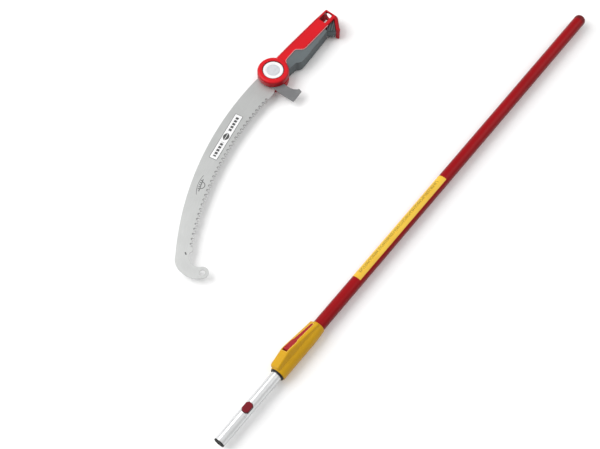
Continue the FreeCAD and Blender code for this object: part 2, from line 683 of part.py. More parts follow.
def handle_hollow():
    """What is cut from the two half shells: the socket, its window, the hub's spaces and the screw holes."""
    bore = rod(INNER_RADIUS + " + Sizes.socket_gap", "Sizes.handle_end", "x", "Sizes.socket_floor")
    window = block("Sizes.window_length", "Sizes.window_width", "4 * Sizes.handle_half",
                   x="Sizes.window_start + Sizes.window_length / 2", z="-2 * Sizes.handle_half")
    recess = rod("Sizes.button_radius + Sizes.recess_gap", "Sizes.hub_half", z="Sizes.recess_floor")
    root = rod("Sizes.root_radius + 1.5", f"{SLOT_TOP} - ({SLOT_BOTTOM})", z=SLOT_BOTTOM)
    reach = size("hub_radius") + 10
    swing = prism([(-8, reach), (-reach, reach), (-reach, -reach), (20, -reach)], SLOT_BOTTOM,
                  f"{SLOT_TOP} - ({SLOT_BOTTOM})")
    cavity = cut(rod("Sizes.cavity_radius", "Sizes.cavity_floor", z="-Sizes.cavity_floor"),
                 rod("Sizes.boss_radius", "Sizes.cavity_floor", z=f"-Sizes.cavity_floor + {SLOT_BOTTOM}"))
    back = rod("Sizes.button_radius + Sizes.fit_gap", "Sizes.hub_half",
               z="-2 * Sizes.hub_half + Sizes.cap_seat")
    head = rod("Sizes.bolt_head_radius + Sizes.fit_gap", "Sizes.hub_half",
               z="-Sizes.head_top - Sizes.hub_half")
    sleeve = rod("Sizes.sleeve_radius + Sizes.fit_gap", "Sizes.sleeve_foot + Sizes.hub_half",
                 z="-Sizes.sleeve_foot")
    bolt = rod("Sizes.bolt_radius + Sizes.fit_gap", "2 * Sizes.hub_half", z="-Sizes.hub_half")
    posts = post_pair("Sizes.post_radius + Sizes.post_gap", "Sizes.hub_half", "0")
    holes = []
    for x, y in HANDLE_SCREWS:
        holes.append(rod("Sizes.screw_radius + Sizes.fit_gap", "Sizes.screw_head_z + Sizes.screw_tip_z + 0.5",
                         x=x, y=y, z="-Sizes.screw_head_z"))
        holes.append(rod("Sizes.screw_head_radius + 0.2", "Sizes.hub_half", x=x, y=y,
                         z="-Sizes.screw_head_z - Sizes.hub_half"))
    return fuse(bore, window, recess, root, swing, cavity, back, head, sleeve, bolt, *posts, *holes)


# Two screws stand outside the blade's root, one in the handle and one in the rim.
HANDLE_SCREWS = (
    ("(Sizes.root_radius + 5.41) * cos(27.41 deg)", "(Sizes.root_radius + 5.41) * sin(27.41 deg)"),
    ("(Sizes.root_radius + 3.5) * cos(37.87 deg)", "-(Sizes.root_radius + 3.5) * sin(37.87 deg)"),
    ("56", "7.5"),
    ("Sizes.handle_end - 8.9", "-Sizes.socket_half - 6.4"),
)


def post_pair(radius, length, z):
    """The two posts under the hub button, on opposite sides of the pivot."""
    posts = []
    for side in ("", "-"):
        posts.append(rod(radius, length, x=f"{side}Sizes.post_circle * cos(Sizes.post_angle * 1 deg)",
                         y=f"{side}Sizes.post_circle * sin(Sizes.post_angle * 1 deg)", z=z))
    return posts


def make_handle_shells():
    hub = rounded(rod("Sizes.hub_radius", "2 * Sizes.hub_half", z="-Sizes.hub_half"), size("hub_round"),
                  lambda edge: on_face(edge, size("hub_half")))
    grip = prism(handle_outline(), "-Sizes.handle_half", "2 * Sizes.handle_half")

    def outward(edge):
        box = edge.BoundBox
        faces_out = box.YMin > size("back_end") - 3 or box.XMin > size("handle_end") - 7
        return faces_out and on_face(edge, size("handle_half"))

    grip = rounded(grip, size("handle_round"), outward)
    whole = cut(fuse(hub, grip), handle_hollow())
    reach = "4 * Sizes.handle_end"
    top = block(reach, reach, "Sizes.hub_half * 2")
    bottom = block(reach, reach, "Sizes.hub_half * 2", z="-2 * Sizes.hub_half")
    keep(common(whole, top), "handle_shell_top", in_saw)
    keep(common(whole, bottom), "handle_shell_bottom", in_saw)


def make_grip_insert():
    """The soft insert: a full strip along the lower edge, thinner with ribs beside the rim."""
    strip = prism(grip_outline(), "-Sizes.grip_half", "2 * Sizes.grip_half")
    _, inner = rim_points()
    half = size("socket_half")
    start = inner[1][0] - 12.4
    region = [(start - 1, -half + 2), (inner[0][0] + 3, -half + 2), (inner[0][0] + 3, inner[1][1] - 3),
              (start - 1, inner[1][1] - 3)]
    thin = cut(prism(region, "-40", "80"), prism(region, "-Sizes.web_half", "2 * Sizes.web_half"))
    ribs = []
    lean = math.sqrt(0.5)
    for number in range(int(size("rib_count"))):
        away = 2.0 + number * size("rib_pitch")
        points = []
        far = away + size("rib_width")
        for along, across in ((-4, away), (34, away), (34, far), (-4, far)):
            points.append((inner[1][0] + (along - across) * lean, inner[1][1] + (along + across) * lean))
        ribs.append(prism(points, "-Sizes.rib_half", "2 * Sizes.rib_half"))
    outline_again = prism(grip_outline(), "-Sizes.rib_half", "2 * Sizes.rib_half")
    ribbed = common(fuse(*ribs), outline_again)
    hub = rod("Sizes.hub_radius + Sizes.fit_gap", "4 * Sizes.hub_half", z="-2 * Sizes.hub_half")
    keep(cut(fuse(cut(strip, thin), ribbed), hub), "grip_insert", in_saw)


def make_handle_screws():
    screws = []
    for x, y in HANDLE_SCREWS:
        shank = rod("Sizes.screw_radius", "Sizes.screw_head_z + Sizes.screw_tip_z", x=x, y=y,
                    z="-Sizes.screw_head_z")
        head = rod("Sizes.screw_head_radius", "2", x=x, y=y, z="-Sizes.screw_head_z - 2")
        recess = rod("1.4", "1.2", x=x, y=y, z="-Sizes.screw_head_z - 2.1", sides=6)
        screws.append(cut(fuse(shank, head), recess))
    keep(group(*screws), "handle_screws", in_saw)


def make_pivot():
    sleeve = tube("Sizes.sleeve_radius", "Sizes.bolt_radius + Sizes.fit_gap",
                  "Sizes.sleeve_foot + Sizes.recess_floor", "z", z="-Sizes.sleeve_foot")
    keep(sleeve, "pivot_sleeve", in_saw)
    shank = rod("Sizes.bolt_radius", "Sizes.head_top + Sizes.recess_floor + Sizes.nut_height + 0.2",
                z="-Sizes.head_top")
    head = rod("Sizes.bolt_head_radius", "Sizes.head_thick", z="-Sizes.head_top - Sizes.head_thick")
    socket = rod("2.9", "2", z="-Sizes.head_top - Sizes.head_thick - 0.2", sides=6)
    keep(cut(fuse(shank, head), socket), "pivot_bolt", in_saw)
    nut = cut(rod("Sizes.nut_radius", "Sizes.nut_height", z="Sizes.recess_floor", sides=6),
              rod("Sizes.bolt_radius + 0.02", "10", z="Sizes.recess_floor - 1"))
    keep(nut, "pivot_nut", in_saw)


def make_hub_back_cap():
    radius = size("button_radius")
    low = -size("hub_half") + size("cap_seat") - size("cap_thick")
    high = low + size("cap_thick")
    keep(spun([
        (0, low), (radius - 3.4, low), (radius - 3, low + 0.4), (radius - 2.4, low),
        (radius - 0.5, low), (radius, low + 0.5), (radius, high), (0, high),
    ], axis="z"), "hub_back_cap", in_saw)


def radial_slab(near, far, half, angle):
    """Plan corners of a slab that runs outwards from near to far at an angle."""
    along = (math.cos(angle), math.sin(angle))
    return [(r * along[0] - w * along[1], r * along[1] + w * along[0])
            for r, w in ((near, -half), (far, -half), (far, half), (near, half))]


def make_hub_spring():
    """A slotted cone of spring steel that stands on the cavity's floor and lifts the lock ring."""
    thick = size("spring_sheet")
    gap = size("fit_gap")
    foot = -size("cavity_floor") + gap
    top = -size("lock_ring_top") - size("lock_ring_thick") - gap
    wide = size("cavity_radius") - 3
    narrow = size("boss_radius") + 3
    cone = spun([(wide, foot), (wide, foot + thick), (narrow, top), (narrow, top - thick)], axis="z")
    slots = []
    count = int(size("spring_slots"))
    half = size("spring_slot_width") / 2
    for number in range(count):
        corners = radial_slab(narrow - 1, wide - 2.5, half, 2 * math.pi * number / count)
        slots.append(prism(corners, "-Sizes.cavity_floor", "Sizes.cavity_floor"))
    keep(cut(cone, *slots), "hub_spring", in_saw)


def make_hub_button():
    """A shallow cup with a raised ring, on two posts."""
    radius = size("button_radius")
    top = size("button_top")
    low = top - size("button_thick")
    inner = size("button_face_radius")
    hollow = size("nut_radius") + 2
    cup = spun([
        (hollow, low), (radius, low), (radius, top - 0.9), ((radius - 0.3, top - 0.3), (radius - 0.9, top)),
        (inner + 0.6, top), (inner, top - 0.7), (inner - 0.9, top - 0.7), (inner - 1.5, top - 0.3),
        (0, top - 0.1), (0, top - 1.4), (hollow, top - 1.4),
    ], axis="z")
    foot = "-Sizes.lock_ring_top - 0.5"
    posts = post_pair("Sizes.post_radius", f"Sizes.button_top - Sizes.button_thick - ({foot}) + 0.5", foot)
    keep(fuse(cup, *posts), "hub_button", in_saw)


def crown(height, z):
    """A ring of face teeth, one for each detent."""
    count = int(size("crown_teeth"))
    inner = size("crown_inner")
    outer = size("crown_outer")
    teeth = []
    for number in range(count):
        middle = 2 * math.pi * number / count
        half = math.pi / count * 0.5
        corners = []
        for radius, angle in ((inner, middle - half), (outer, middle - half), (outer, middle + half),
                              (inner, middle + half)):
            corners.append((radius * math.cos(angle), radius * math.sin(angle)))
        teeth.append(prism(corners, z, height))
    return teeth


def make_lock_ring():
    """The toothed ring on the posts. The posts pass through it and are riveted over."""
    z = "-Sizes.lock_ring_top - Sizes.lock_ring_thick"
    ring = cut(rod("Sizes.lock_ring_outer", "Sizes.lock_ring_thick", z=z),
               rod("Sizes.lock_ring_inner", "Sizes.lock_ring_thick + 2", z=f"{z} - 1"),
               *post_pair("Sizes.post_radius", "1", "-Sizes.lock_ring_top - 0.5"))
    teeth = crown("Sizes.ring_tooth + 0.2", "-Sizes.lock_ring_top - 0.2")
    keep(fuse(ring, *teeth), "lock_ring", in_saw)


def make_blade_ring():
    """The toothed ring under the blade, with curved slots that let the posts through."""
    low = "-Sizes.blade_thick / 2 - Sizes.ring_thick"
    ring = cut(rod("Sizes.ring_outer", "Sizes.ring_thick", z=low),
               rod("Sizes.boss_radius + 0.6", "Sizes.ring_thick + 2", z=f"{low} - 1"),
               prism(post_slot(0), f"{low} - 1", "6"), prism(post_slot(180), f"{low} - 1", "6"),
               *ring_rivet_pair("Sizes.ring_rivet_radius + Sizes.fit_gap"))
    teeth = crown("Sizes.ring_tooth + 0.2", f"{low} - Sizes.ring_tooth")
    keep(fuse(ring, *teeth), "blade_ring", in_saw)


def post_slot(turn):
    """A curved slot on the post circle, long enough for the blade's swing both ways."""
    half = size("post_radius") + size("post_gap")
    near = size("post_circle") - half
    far = size("post_circle") + half
    spread = math.radians(size("blade_swing")) + half / size("post_circle")
    middle = math.radians(size("post_angle") + turn)

    def at(radius, angle):
        return (radius * math.cos(angle), radius * math.sin(angle))

    return [at(far, middle - spread), (at(far, middle), at(far, middle + spread)), at(near, middle + spread),
            (at(near, middle), at(near, middle - spread))]


def ring_rivet_pair(radius):
    low = "-Sizes.blade_thick / 2 - Sizes.ring_thick"
    return [rod(radius, "Sizes.ring_thick + Sizes.blade_thick", y=y, z=low)
            for y in ("Sizes.ring_rivet_y", "-Sizes.ring_rivet_y")]


HOOK_RIVETS = (("-19", "-15.5"), ("-8.5", "-20.5"))


def make_rivets():
    keep(group(*ring_rivet_pair("Sizes.ring_rivet_radius")), "ring_rivets", in_saw)
    length = "Sizes.blade_thick + Sizes.hook_thick"
    rivets = [rod("Sizes.hook_rivet_radius", length, x=x, y=y, z="-Sizes.blade_thick / 2")
              for x, y in HOOK_RIVETS]
    keep(group(*rivets), "hook_rivets", in_saw)


def on_circle(centre_x, centre_y, radius, x):
    """The upper point of a circle at x."""
    return (x, centre_y + math.sqrt(radius ** 2 - (x - centre_x) ** 2))


def back_point(x):
    return on_circle(size("back_centre_x"), size("back_centre_y"), size("back_radius"), x)


def tooth_point(x):
    return on_circle(size("tooth_centre_x"), size("tooth_centre_y"), size("tooth_radius"), x)


def blade_outline():
    """Back edge, hooked tip, toothed edge and the round root, in that order."""
    root = size("root_radius")
    tip_x = size("tip_x")
    tip_y = size("tip_y")
    tip = size("tip_radius")
    start = size("tooth_start_x")
    end = size("tooth_end_x")
    back_end = tip_x - 5.5
    root_top = (-0.656 * root, 0.755 * root)
    root_low = (-0.62 * root, -0.785 * root)

    def at_tip(angle):
        turn = math.radians(angle)
        return (tip_x + tip * math.cos(turn), tip_y + tip * math.sin(turn))

    return [
        back_point(-24), (back_point(back_end / 2), back_point(back_end)),
        ((tip_x - 19, tip_y + 48.5), (tip_x - 23.5, tip_y + 31)), ((tip_x - 21.5, tip_y + 10), at_tip(215)),
        (at_tip(315), at_tip(62)), ((tip_x + 1.5, tip_y + 26), (end - 12, tooth_point(end)[1] - 4.2)),
        (end - 4, tooth_point(end)[1] - 5.2), tooth_point(end),
        (tooth_point((start + end) / 2), tooth_point(start)),
        (-34, tooth_point(start)[1] + 0.6), root_low, ((root, 0), root_top),
    ]


def make_saw_blade():
    body = new_body("saw_blade", in_saw)
    profile = new_sketch(body, "XY_Plane")
    draw_loop(profile, blade_outline())
    draw_circle(profile, size("sleeve_radius") + size("pin_gap"), "Sizes.sleeve_radius + Sizes.pin_gap")
    draw_circle(profile, size("hang_hole_radius"), "", (size("tip_x"), size("tip_y")))
    draw_loop(profile, post_slot(0))
    draw_loop(profile, post_slot(180))
    for x, y in HOOK_RIVETS:
        draw_circle(profile, size("hook_rivet_radius") + size("rivet_gap"), "", (float(x), float(y)))
    for y in (size("ring_rivet_y"), -size("ring_rivet_y")):
        draw_circle(profile, size("ring_rivet_radius") + size("rivet_gap"), "", (0, y))
    pad(body, profile, "Sizes.blade_thick", midplane=True)
    # gullets, repeated round the centre of the toothed edge
    centre = (size("tooth_centre_x"), size("tooth_centre_y"))
    radius = size("tooth_radius")
    pitch = size("tooth_pitch") / radius
    first = math.pi / 2 + math.asin((centre[0] - size("tooth_start_x")) / radius) + pitch * 0.3
    last = math.pi / 2 + math.asin((centre[0] - size("tooth_end_x")) / radius)
    count = int((last - first) / pitch)
    deep = size("tooth_depth")
    notch = new_sketch(body, "XY_Plane", "-Sizes.blade_thick", dx="Sizes.tooth_centre_x",
                       dy="Sizes.tooth_centre_y")

    def on_edge(along, depth):
        angle = first + along * pitch
        return ((radius + depth) * math.cos(angle), (radius + depth) * math.sin(angle))

    draw_loop(notch, [on_edge(-0.2, -1), on_edge(-0.14, deep - 1),
                      (on_edge(0, deep), on_edge(0.12, deep - 1)), on_edge(0.24, -1)])
    draw_loop(notch, [on_edge(0.34, -1), on_edge(0.53, deep * 0.72), on_edge(0.7, -1)])
    gullet = pocket(body, notch, "2 * Sizes.blade_thick", reverse=True)
    doc.recompute()
    pattern = body.newObject("PartDesign::PolarPattern", "Teeth")
    pattern.Originals = [gullet]
    pattern.Axis = (notch, ["N_Axis"])
    pattern.Angle = math.degrees(count * pitch)
    pattern.Occurrences = count + 1
    body.Tip = pattern


def make_bark_hook():
    """A plate on the blade's root whose lower end is a chisel edge."""
    foot = size("hook_foot")
    points = [
        (-25, -12), (-17, -10), (-5, -17.5), (-5.3, -foot * 0.55),
        ((-3.6, -foot * 0.72), (1.6, -foot * 0.83)), ((4.0, -foot * 0.86), (3.6, -foot * 0.9)),
        (2.4, -foot * 0.955), (-26.5, -foot), (-27.5, -foot * 0.5),
    ]
    plate = prism(points, "Sizes.blade_thick / 2", "Sizes.hook_thick")
    holes = [rod("Sizes.hook_rivet_radius + Sizes.rivet_gap", "10", x=x, y=y) for x, y in HOOK_RIVETS]
    low = size("blade_thick") / 2
    high = low + size("hook_thick") + 0.6
    bevel = prism([(-foot - 2, low - 1), (-foot + 5, low - 1), (-foot - 2, high)], "-40", "60", "yz")
    keep(cut(plate, *holes, bevel), "bark_hook", in_saw)


def check_document():
    """Stops if any object failed to compute or any finished shape is empty or invalid."""
    doc.recompute()
    for item in doc.Objects:
        if "Invalid" in item.State or "Error" in item.State:
            raise RuntimeError(f"{item.Name} ({item.Label}) failed: {item.State}")
    for item in pieces:
        if item.Shape.isNull() or not item.Shape.isValid() or not item.Shape.Solids:
            raise RuntimeError(f"{item.Label} has no valid shape")


def write_parts():
    os.makedirs("parts", exist_ok=True)
    for item in pieces:
        item.Shape.exportStep(f"parts/{item.Label}.step")
        print(f"{item.Label:22s} {len(item.Shape.Solids):2d} solids {item.Shape.Volume:10.1f} mm3")


make_outer_tube()
make_end_cap()
make_inner_tube()
make_tool_end_plug()
make_rear_guide()
make_tool_button()
make_button_spring()
make_lock_housing()
make_housing_screws()
make_housing_rivets()
make_lever_pin()
make_lock_lever()
make_clamp_shoe()
make_guide_bush()
make_mouth_seal()
make_tube_label()
make_handle_shells()
make_grip_insert()
make_handle_screws()
make_pivot()
make_hub_back_cap()
make_hub_spring()
make_hub_button()
make_lock_ring()
make_blade_ring()
make_rivets()
make_saw_blade()
make_bark_hook()
check_document()
write_parts()
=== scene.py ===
import bpy
import math
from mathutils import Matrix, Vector


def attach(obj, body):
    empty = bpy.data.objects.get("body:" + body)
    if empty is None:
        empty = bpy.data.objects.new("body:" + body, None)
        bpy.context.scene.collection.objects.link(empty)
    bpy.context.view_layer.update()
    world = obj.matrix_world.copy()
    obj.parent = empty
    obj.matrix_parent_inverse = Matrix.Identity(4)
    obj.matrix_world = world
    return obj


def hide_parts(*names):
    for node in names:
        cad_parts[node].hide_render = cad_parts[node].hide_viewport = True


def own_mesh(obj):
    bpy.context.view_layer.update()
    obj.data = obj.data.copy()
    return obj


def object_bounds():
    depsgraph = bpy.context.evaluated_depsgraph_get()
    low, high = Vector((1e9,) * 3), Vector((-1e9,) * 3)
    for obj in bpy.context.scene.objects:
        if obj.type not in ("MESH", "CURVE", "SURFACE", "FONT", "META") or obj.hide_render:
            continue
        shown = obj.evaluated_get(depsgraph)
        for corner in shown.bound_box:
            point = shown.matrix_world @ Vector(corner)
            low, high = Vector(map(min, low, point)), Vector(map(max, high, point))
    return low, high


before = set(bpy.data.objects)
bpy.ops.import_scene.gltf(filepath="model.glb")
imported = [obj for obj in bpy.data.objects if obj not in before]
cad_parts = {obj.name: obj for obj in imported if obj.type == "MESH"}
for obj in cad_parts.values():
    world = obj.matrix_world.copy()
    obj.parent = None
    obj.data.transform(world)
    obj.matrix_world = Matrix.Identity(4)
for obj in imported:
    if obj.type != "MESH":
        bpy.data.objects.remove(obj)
cadBox = [list(corner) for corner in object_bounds()]
print("loaded the saw and its pole")

mm = 0.001
softAngle = math.radians(40.0)


def clearSelection():
    for item in bpy.context.selected_objects:
        item.select_set(False)


def pickOnly(item):
    clearSelection()
    item.select_set(True)
    bpy.context.view_layer.objects.active = item


def placeInMesh(item):
    # a finished piece sits at the origin with its place in its mesh
    pickOnly(item)
    bpy.ops.object.transform_apply(location=True, rotation=True, scale=True)
    return item


def selectFaces(item, wanted):
    bpy.ops.mesh.select_all(action="DESELECT")
    bpy.ops.object.mode_set(mode="OBJECT")
    for face in item.data.polygons:
        face.select = wanted(face)
    bpy.ops.object.mode_set(mode="EDIT")


def selectEdges(item, wanted):
    bpy.ops.mesh.select_all(action="DESELECT")
    bpy.ops.object.mode_set(mode="OBJECT")
    for edge in item.data.edges:
        first, second = (item.data.vertices[corner].co for corner in edge.vertices)
        edge.select = wanted(first, second)
    bpy.ops.object.mode_set(mode="EDIT")


def dress(item, finish):
    item.data.materials.clear()
    item.data.materials.append(finish)


studio = {
    "floorSize": 14.0, "floorMiddle": (0.5, 0.2), "floorGap": 0.1 * mm, "floorTone": (0.95, 0.95, 0.95),
    "skyTop": 0.68, "skyEdge": 0.56, "skyTopHeight": 0.9,
    "keyPower": 120.0, "keySize": 3.4, "keyPlace": (-0.9, 2.3, 2.6),
    "fillPower": 14.0, "fillSize": 2.0, "fillPlace": (2.2, -1.2, 2.0),
}
camera = {
    "azimuth": -51.5, "elevation": 62.0, "distance": 2.2, "lens": 70.2, "target": (0.416, 0.155, 0.0),
    "nearest": 0.01, "farthest": 50,
}


def lookAlong(azimuth, elevation):
    turn, rise = math.radians(azimuth), math.radians(elevation)
    return Vector((-math.sin(turn) * math.cos(rise), math.cos(turn) * math.cos(rise), -math.sin(rise)))


def addCamera():
    forward = lookAlong(camera["azimuth"], camera["elevation"])
    clearSelection()
    bpy.ops.object.camera_add(location=Vector(camera["target"]) - forward * camera["distance"])
    eye = bpy.context.object
    eye.rotation_euler = forward.to_track_quat("-Z", "Y").to_euler()
    eye.data.lens = camera["lens"]
    eye.data.clip_start, eye.data.clip_end = camera["nearest"], camera["farthest"]
    bpy.context.scene.camera = eye


def addSoftLight(name, place, power, span):
    bpy.ops.object.light_add(type="AREA", location=place)
    lamp = bpy.context.object
    lamp.name = name
    lamp.data.energy = power
    lamp.data.size = span
    aim = Vector(camera["target"]) - Vector(place)
    lamp.rotation_euler = aim.to_track_quat("-Z", "Y").to_euler()


addCamera()
addSoftLight("keyLight", studio["keyPlace"], studio["keyPower"], studio["keySize"])
addSoftLight("fillLight", studio["fillPlace"], studio["fillPower"], studio["fillSize"])


def startFinish(name, roughness, metallic=0.0, gloss=0.5):
    finish = bpy.data.materials.new(name)
    finish.use_nodes = True
    tree = finish.node_tree
    shader = tree.nodes["Principled BSDF"]
    shader.inputs["Metallic"].default_value = metallic
    shader.inputs["Roughness"].default_value = roughness
    shader.inputs["Specular IOR Level"].default_value = gloss
    return finish, tree, shader


def addNode(tree, kind, values=None, **settings):
    node = tree.nodes.new(kind)
    for name, value in settings.items():
        setattr(node, name, value)
    for name, value in (values or {}).items():
        node.inputs[name].default_value = value
    return node


def join(tree, source, target):
    tree.links.new(source, target)


def feed(tree, value, socket):
    # a plain number is set on the socket, anything else is linked to it
    if isinstance(value, (int, float)):
        socket.default_value = value
    else:
        join(tree, value, socket)


def localPoint(tree, centre=(0, 0), turn=0.0, stretch=(1, 1, 1)):
    # object coordinates, centred on a place, turned about z, then stretched
    place = addNode(tree, "ShaderNodeTexCoord")
    middle = addNode(tree, "ShaderNodeVectorMath", operation="SUBTRACT")
    join(tree, place.outputs["Object"], middle.inputs[0])
    middle.inputs[1].default_value = (*centre, 0)
    mapping = addNode(tree, "ShaderNodeMapping", {"Rotation": (0, 0, turn), "Scale": stretch})
    join(tree, middle.outputs[0], mapping.inputs["Vector"])
    return mapping.outputs["Vector"]


def splitPoint(tree, point):
    split = addNode(tree, "ShaderNodeSeparateXYZ")
    join(tree, point, split.inputs[0])
    return split.outputs["X"], split.outputs["Y"], split.outputs["Z"]


def pair(tree, across, up):
    both = addNode(tree, "ShaderNodeCombineXYZ")
    join(tree, across, both.inputs[0])
    join(tree, up, both.inputs[1])
    return both.outputs[0]


def distance(tree, across, up):
    reach = addNode(tree, "ShaderNodeVectorMath", operation="LENGTH")
    join(tree, pair(tree, across, up), reach.inputs[0])
    return reach.outputs["Value"]


def calc(tree, operation, first, second=None):
    node = addNode(tree, "ShaderNodeMath", operation=operation)
    feed(tree, first, node.inputs[0])
    if second is not None:
        feed(tree, second, node.inputs[1])
    return node.outputs[0]


def times(tree, first, *others):
    for other in others:
        first = calc(tree, "MULTIPLY", first, other)
    return first


def highest(tree, first, *others):
    for other in others:
        first = calc(tree, "MAXIMUM", first, other)
    return first


def plus(tree, first, second):
    return calc(tree, "ADD", first, second)


def minus(tree, first, second):
    return calc(tree, "SUBTRACT", first, second)


def below(tree, value, limit):
    return calc(tree, "LESS_THAN", value, limit)


def inside(tree, value, low, high):
    # 1 where a value lies between two limits
    return times(tree, calc(tree, "GREATER_THAN", value, low), below(tree, value, high))


def near(tree, value, middle, reach):
    # 1 where a value is within reach of the middle
    return below(tree, calc(tree, "ABSOLUTE", minus(tree, value, middle)), reach)


def dashes(tree, value, pitch, share):
    # 1 along the first share of every pitch
    return below(tree, calc(tree, "FRACT", calc(tree, "DIVIDE", value, pitch)), share)


def mixTones(tree, amount, first, second):
    mix = addNode(tree, "ShaderNodeMix", data_type="RGBA")
    feed(tree, amount, mix.inputs["Factor"])
    for slot, tone in ((6, first), (7, second)):
        if isinstance(tone, tuple):
            mix.inputs[slot].default_value = (*tone, 1)
        else:
            join(tree, tone, mix.inputs[slot])
    return mix.outputs[2]


def noise(tree, vector, scale, detail=3.0, roughness=0.55):
    cloud = addNode(tree, "ShaderNodeTexNoise", {"Scale": scale, "Detail": detail, "Roughness": roughness})
    join(tree, vector, cloud.inputs["Vector"])
    return cloud.outputs["Fac"]


def between(tree, value, low, high, toLow=0.0, toHigh=1.0):
    limits = {"From Min": low, "From Max": high, "To Min": toLow, "To Max": toHigh}
    span = addNode(tree, "ShaderNodeMapRange", limits)
    join(tree, value, span.inputs["Value"])
    return span.outputs["Result"]


def spread(tree, cloud, toLow=0.0, toHigh=1.0):
    # the middle of a noise, stretched to two limits
    return between(tree, cloud, 0.3, 0.7, toLow, toHigh)


def clouded(tree, cloud, first, second):
    # two close tones in soft patches
    return mixTones(tree, between(tree, cloud, 0.35, 0.65), first, second)


def addBump(tree, shader, height, strength, depth):
    bump = addNode(tree, "ShaderNodeBump", {"Strength": strength, "Distance": depth})
    join(tree, height, bump.inputs["Height"])
    join(tree, bump.outputs["Normal"], shader.inputs["Normal"])


facing = {"level": 0.95, "upright": 0.25}


def sideShadeAmount(tree):
    # 0 on faces that look up or down, 1 on upright faces, the mask for painted shade
    surface = addNode(tree, "ShaderNodeNewGeometry")
    height = splitPoint(tree, surface.outputs["True Normal"])[2]
    return between(tree, calc(tree, "ABSOLUTE", height), facing["level"], facing["upright"])


# painted shade: upright faces are mixed towards a darker tone, as if they turned from the light
def paintSideShade(tree, look, tone):
    if "sideShadeTone" not in look:
        return tone
    return mixTones(tree, times(tree, sideShadeAmount(tree), look["sideShadeShare"]), tone, look["sideShadeTone"])


moulding = {"gloss": 0.25, "cloud": 14.0, "uneven": 0.05, "grainDetail": 2.0, "grainDepth": 0.2 * mm}


def mouldedPlastic(name, look):
    # two close tones, a fine spark texture, a slightly uneven gloss and painted shade on upright faces where
    # the look has a side tone
    rough = look["roughness"]
    finish, tree, shader = startFinish(name, rough, gloss=look.get("gloss", moulding["gloss"]))
    point = localPoint(tree)
    cloud = noise(tree, point, look.get("cloud", moulding["cloud"]))
    tone = clouded(tree, cloud, look["tone"], look["secondTone"])
    join(tree, paintSideShade(tree, look, tone), shader.inputs["Base Color"])
    uneven = spread(tree, cloud, rough - moulding["uneven"], rough + moulding["uneven"])
    join(tree, uneven, shader.inputs["Roughness"])
    grain = noise(tree, point, look["grain"], moulding["grainDetail"])
    addBump(tree, shader, grain, look["grainStrength"], moulding["grainDepth"])
    return finish


brushing = {"cloud": 9.0, "cloudShare": 0.03, "smoother": 0.05, "rougher": 0.06, "lineDepth": 0.1 * mm}


def brushedMetal(name, look):
    # fine lines along x with a faint cloud in the gloss and painted shade on upright faces where the look has
    # a side tone
    rough = look["roughness"]
    finish, tree, shader = startFinish(name, rough, metallic=1.0)
    lines = noise(tree, localPoint(tree, stretch=look["stretch"]), 1.0, 4.0, 0.6)
    cloud = noise(tree, localPoint(tree), brushing["cloud"])
    tone = mixTones(tree, spread(tree, lines), look["tone"], look["secondTone"])
    join(tree, paintSideShade(tree, look, tone), shader.inputs["Base Color"])
    lined = spread(tree, lines, rough - brushing["smoother"], rough + brushing["rougher"])
    patched = spread(tree, cloud, -brushing["cloudShare"], brushing["cloudShare"])
    join(tree, plus(tree, lined, patched), shader.inputs["Roughness"])
    addBump(tree, shader, lines, look["lineStrength"], brushing["lineDepth"])
    return finish
